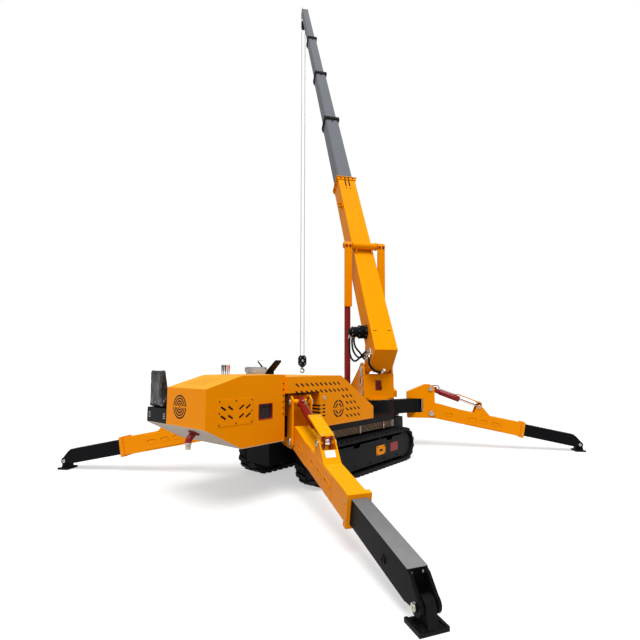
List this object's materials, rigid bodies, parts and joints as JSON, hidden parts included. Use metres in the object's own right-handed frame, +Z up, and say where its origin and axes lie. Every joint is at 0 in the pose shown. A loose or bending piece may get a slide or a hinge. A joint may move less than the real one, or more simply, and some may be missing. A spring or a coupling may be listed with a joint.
{
  "type": "crawler crane",
  "caption": "Compact crawler crane on rubber tracks, with swing-out outriggers, a telescopic luffing boom on a slewing turret, hoist rope and hook, rear cabinet and seat.",
  "frame": {"origin": "on the ground under the centre of the slewing ring", "axes": "+X towards the turret end, +Y to the left, +Z up"},
  "size_m": [9.3845, 9.8015, 16.4438],
  "materials": {
    "yellow_paint": "satin orange-yellow paint",
    "black_paint": "satin black paint",
    "grey_paint": "grey paint",
    "red_paint": "dark red paint",
    "beige_panel": "bare primed sheet",
    "bare_steel": "drawn steel pipe",
    "rod_steel": "chromed rod",
    "rope_steel": "galvanised wire rope",
    "head_metal": "silver paint",
    "track_rubber": "matt rubber",
    "seat_cover": "black seat cover",
    "black_plastic": "black plastic",
    "engine_iron": "cast iron"
  },
  "bodies": {
    "chassis": {"chassis_frame": "black_paint", "track_left": "track_rubber", "track_right": "track_rubber", "track_frame_left": "black_paint", "track_frame_right": "black_paint", "deck_pipes": "bare_steel", "cabinet": "yellow_paint", "cabinet_floor": "beige_panel", "seat_base": "black_paint", "seat": "seat_cover", "controls": "black_plastic", "hood": "yellow_paint", "hood_rear": "yellow_paint", "top_box": "head_metal", "engine": "engine_iron", "exhaust_stub": "red_paint"},
    "turret": {"turret": "yellow_paint"},
    "boom": {"boom_base": "yellow_paint", "winch": "black_paint"},
    "boom_2": {"boom_section_2": "grey_paint"},
    "boom_3": {"boom_section_3": "grey_paint"},
    "boom_4": {"boom_section_4": "grey_paint"},
    "boom_5": {"boom_section_5": "grey_paint", "boom_head": "head_metal"},
    "luff_barrel": {"luff_barrels": "red_paint"},
    "luff_rod": {"luff_rods": "rod_steel", "luff_guards": "yellow_paint"},
    "rope": {"hoist_rope": "rope_steel"},
    "hook": {"hook_block": "black_paint"},
    "front_right_bracket": {"front_right_bracket": "yellow_paint"},
    "front_right_arm": {"front_right_arm": "yellow_paint"},
    "front_right_inner": {"front_right_inner": "black_paint"},
    "front_right_foot": {"front_right_foot": "black_paint"},
    "front_right_barrel": {"front_right_barrel": "red_paint"},
    "front_right_rod": {"front_right_rod": "rod_steel", "front_right_guard": "yellow_paint"},
    "front_left_bracket": {"front_left_bracket": "yellow_paint"},
    "front_left_arm": {"front_left_arm": "yellow_paint"},
    "front_left_inner": {"front_left_inner": "black_paint"},
    "front_left_foot": {"front_left_foot": "black_paint"},
    "front_left_barrel": {"front_left_barrel": "red_paint"},
    "front_left_rod": {"front_left_rod": "rod_steel", "front_left_guard": "yellow_paint"},
    "rear_right_bracket": {"rear_right_bracket": "yellow_paint"},
    "rear_right_arm": {"rear_right_arm": "yellow_paint"},
    "rear_right_inner": {"rear_right_inner": "black_paint"},
    "rear_right_foot": {"rear_right_foot": "black_paint"},
    "rear_right_barrel": {"rear_right_barrel": "red_paint"},
    "rear_right_rod": {"rear_right_rod": "rod_steel", "rear_right_guard": "yellow_paint"},
    "rear_left_bracket": {"rear_left_bracket": "yellow_paint"},
    "rear_left_arm": {"rear_left_arm": "yellow_paint"},
    "rear_left_inner": {"rear_left_inner": "black_paint"},
    "rear_left_foot": {"rear_left_foot": "black_paint"},
    "rear_left_barrel": {"rear_left_barrel": "red_paint"},
    "rear_left_rod": {"rear_left_rod": "rod_steel", "rear_left_guard": "yellow_paint"}
  },
  "joints": [
    {"name": "slew", "type": "hinge", "parent": "chassis", "child": "turret", "pos_m": [0, 0, 0.99], "axis": [0, 0, 1], "continuous": true},
    {"name": "luff", "type": "hinge", "parent": "turret", "child": "boom", "pos_m": [-0.10349, -0.13487, 1.55], "axis": [0.7934, -0.6088, 0], "range_deg": [-60, 18]},
    {"name": "telescope_2", "type": "slide", "parent": "boom", "child": "boom_2", "axis": [0.3044, 0.3967, 0.866], "range_m": [-2.6, 0.1]},
    {"name": "telescope_3", "type": "slide", "parent": "boom_2", "child": "boom_3", "axis": [0.3044, 0.3967, 0.866], "range_m": [-2.6, 0.1]},
    {"name": "telescope_4", "type": "slide", "parent": "boom_3", "child": "boom_4", "axis": [0.3044, 0.3967, 0.866], "range_m": [-2.6, 0.1]},
    {"name": "telescope_5", "type": "slide", "parent": "boom_4", "child": "boom_5", "axis": [0.3044, 0.3967, 0.866], "range_m": [-2.6, 0.1]},
    {"name": "luff_barrel_swing", "type": "hinge", "parent": "turret", "child": "luff_barrel", "pos_m": [0.33482, 0.43634, 1.15], "axis": [0.7934, -0.6088, 0], "range_deg": [-57, 17.5]},
    {"name": "luff_rod_slide", "type": "slide", "parent": "luff_barrel", "child": "luff_rod", "axis": [-0.0209, -0.0272, 0.9994], "range_m": [-0.84, 0.26]},
    {"name": "rope_hang", "type": "hinge", "parent": "boom_5", "child": "rope", "pos_m": [4.87185, 6.34912, 16.29386], "axis": [0.7934, -0.6088, 0], "range_deg": [-20, 62]},
    {"name": "hoist", "type": "slide", "parent": "rope", "child": "hook", "axis": [0, 0, -1], "range_m": [-13, 1.25], "deforming": ["hoist_rope"]},
    {"name": "front_right_swing", "type": "hinge", "parent": "chassis", "child": "front_right_bracket", "pos_m": [1.041, -0.317, 0.69], "axis": [0, 0, -1], "range_deg": [-30, 30]},
    {"name": "front_right_lift", "type": "hinge", "parent": "front_right_bracket", "child": "front_right_arm", "pos_m": [1.19998, -0.57141, 0.67], "axis": [-0.848, -0.5299, 0], "range_deg": [-5, 40]},
    {"name": "front_right_extend", "type": "slide", "parent": "front_right_arm", "child": "front_right_inner", "axis": [0.5198, -0.8319, -0.1942], "range_m": [-0.55, 0.25]},
    {"name": "front_right_foot_tilt", "type": "hinge", "parent": "front_right_inner", "child": "front_right_foot", "pos_m": [2.63252, -2.86397, 0.12861], "axis": [-0.848, -0.5299, 0], "range_deg": [-15, 15]},
    {"name": "front_right_barrel_swing", "type": "hinge", "parent": "front_right_bracket", "child": "front_right_barrel", "pos_m": [1.19998, -0.57141, 1.15], "axis": [-0.848, -0.5299, 0], "range_deg": [-6, 42]},
    {"name": "front_right_rod_slide", "type": "slide", "parent": "front_right_barrel", "child": "front_right_rod", "axis": [0.4961, -0.7939, -0.3516], "range_m": [-0.34, 0.05]},
    {"name": "front_left_swing", "type": "hinge", "parent": "chassis", "child": "front_left_bracket", "pos_m": [1.041, 0.317, 0.69], "axis": [0, 0, 1], "range_deg": [-30, 30]},
    {"name": "front_left_lift", "type": "hinge", "parent": "front_left_bracket", "child": "front_left_arm", "pos_m": [1.19998, 0.57141, 0.67], "axis": [0.848, -0.5299, 0], "range_deg": [-5, 40]},
    {"name": "front_left_extend", "type": "slide", "parent": "front_left_arm", "child": "front_left_inner", "axis": [0.5198, 0.8319, -0.1942], "range_m": [-0.55, 0.25]},
    {"name": "front_left_foot_tilt", "type": "hinge", "parent": "front_left_inner", "child": "front_left_foot", "pos_m": [2.63252, 2.86397, 0.12861], "axis": [0.848, -0.5299, 0], "range_deg": [-15, 15]},
    {"name": "front_left_barrel_swing", "type": "hinge", "parent": "front_left_bracket", "child": "front_left_barrel", "pos_m": [1.19998, 0.57141, 1.15], "axis": [0.848, -0.5299, 0], "range_deg": [-6, 42]},
    {"name": "front_left_rod_slide", "type": "slide", "parent": "front_left_barrel", "child": "front_left_rod", "axis": [0.4961, 0.7939, -0.3516], "range_m": [-0.34, 0.05]},
    {"name": "rear_right_swing", "type": "hinge", "parent": "chassis", "child": "rear_right_bracket", "pos_m": [-2.62, -0.454, 0.69], "axis": [0, 0, 1], "range_deg": [-10, 30]},
    {"name": "rear_right_lift", "type": "hinge", "parent": "rear_right_bracket", "child": "rear_right_arm", "pos_m": [-2.77, -0.71381, 0.67], "axis": [-0.866, 0.5, 0], "range_deg": [-5, 40]},
    {"name": "rear_right_extend", "type": "slide", "parent": "rear_right_arm", "child": "rear_right_inner", "axis": [-0.4905, -0.8495, -0.1942], "range_m": [-0.55, 0.25]},
    {"name": "rear_right_foot_tilt", "type": "hinge", "parent": "rear_right_inner", "child": "rear_right_foot", "pos_m": [-4.12166, -3.05496, 0.12861], "axis": [-0.866, 0.5, 0], "range_deg": [-15, 15]},
    {"name": "rear_right_barrel_swing", "type": "hinge", "parent": "rear_right_bracket", "child": "rear_right_barrel", "pos_m": [-2.77, -0.71381, 1.15], "axis": [-0.866, 0.5, 0], "range_deg": [-6, 42]},
    {"name": "rear_right_rod_slide", "type": "slide", "parent": "rear_right_barrel", "child": "rear_right_rod", "axis": [-0.4681, -0.8107, -0.3516], "range_m": [-0.34, 0.05]},
    {"name": "rear_left_swing", "type": "hinge", "parent": "chassis", "child": "rear_left_bracket", "pos_m": [-2.62, 0.454, 0.69], "axis": [0, 0, -1], "range_deg": [-10, 30]},
    {"name": "rear_left_lift", "type": "hinge", "parent": "rear_left_bracket", "child": "rear_left_arm", "pos_m": [-2.77, 0.71381, 0.67], "axis": [0.866, 0.5, 0], "range_deg": [-5, 40]},
    {"name": "rear_left_extend", "type": "slide", "parent": "rear_left_arm", "child": "rear_left_inner", "axis": [-0.4905, 0.8495, -0.1942], "range_m": [-0.55, 0.25]},
    {"name": "rear_left_foot_tilt", "type": "hinge", "parent": "rear_left_inner", "child": "rear_left_foot", "pos_m": [-4.12166, 3.05496, 0.12861], "axis": [0.866, 0.5, 0], "range_deg": [-15, 15]},
    {"name": "rear_left_barrel_swing", "type": "hinge", "parent": "rear_left_bracket", "child": "rear_left_barrel", "pos_m": [-2.77, 0.71381, 1.15], "axis": [0.866, 0.5, 0], "range_deg": [-6, 42]},
    {"name": "rear_left_rod_slide", "type": "slide", "parent": "rear_left_barrel", "child": "rear_left_rod", "axis": [-0.4681, 0.8107, -0.3516], "range_m": [-0.34, 0.05]}
  ],
  "couplings": [
    {"joint": "telescope_3", "follows": "telescope_2", "ratio": 1},
    {"joint": "telescope_4", "follows": "telescope_2", "ratio": 1},
    {"joint": "telescope_5", "follows": "telescope_2", "ratio": 1},
    {"joint": "luff_barrel_swing", "follows": "luff", "ratio": 0.94},
    {"joint": "luff_rod_slide", "follows": "luff", "m_per_rad": 0.79},
    {"joint": "rope_hang", "follows": "luff", "ratio": -1},
    {"joint": "front_right_barrel_swing", "follows": "front_right_lift", "ratio": 0.95},
    {"joint": "front_right_rod_slide", "follows": "front_right_lift", "m_per_rad": -0.47},
    {"joint": "front_left_barrel_swing", "follows": "front_left_lift", "ratio": 0.95},
    {"joint": "front_left_rod_slide", "follows": "front_left_lift", "m_per_rad": -0.47},
    {"joint": "rear_right_barrel_swing", "follows": "rear_right_lift", "ratio": 0.95},
    {"joint": "rear_right_rod_slide", "follows": "rear_right_lift", "m_per_rad": -0.47},
    {"joint": "rear_left_barrel_swing", "follows": "rear_left_lift", "ratio": 0.95},
    {"joint": "rear_left_rod_slide", "follows": "rear_left_lift", "m_per_rad": -0.47}
  ]
}
